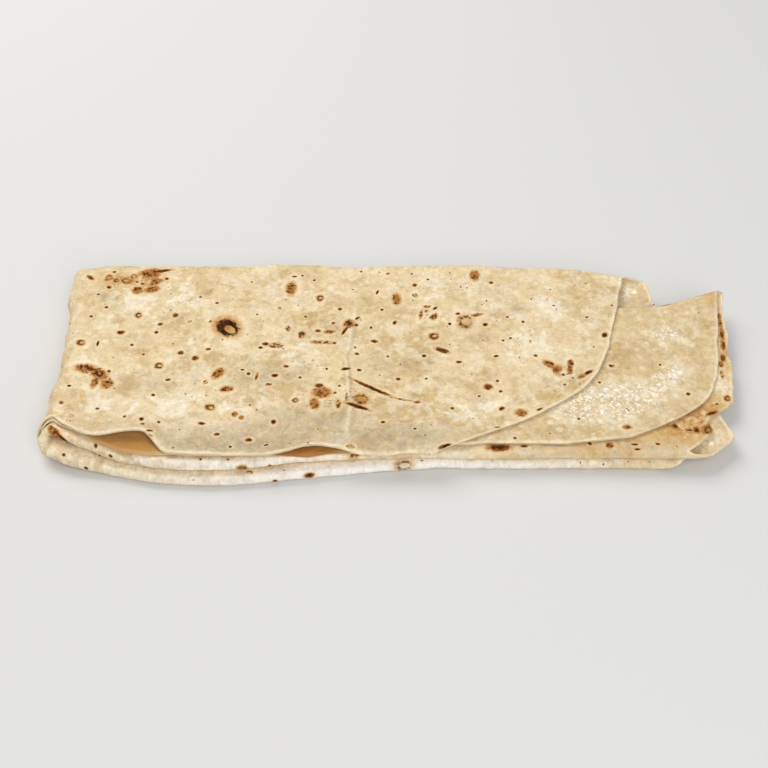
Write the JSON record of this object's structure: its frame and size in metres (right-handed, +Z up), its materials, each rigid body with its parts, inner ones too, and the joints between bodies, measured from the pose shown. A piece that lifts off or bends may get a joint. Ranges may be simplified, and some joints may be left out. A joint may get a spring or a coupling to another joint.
{
  "type": "chapati flatbread",
  "caption": "Large thin round wheat flatbread, griddled and folded into a long flat packet with rolled front edges and fanned layers at one end.",
  "frame": {"origin": "centre of the folded packet's box, on the surface that it lies on", "axes": "+X along the packet, from its closed left fold to the open layered end; +Y from the rolled front edge to the back folds; +Z up"},
  "size_m": [0.3144, 0.133, 0.0163],
  "materials": {
    "bread": "matte griddled dough with scorch marks"
  },
  "bodies": {
    "root": {"chapati": "bread"}
  },
  "joints": []
}
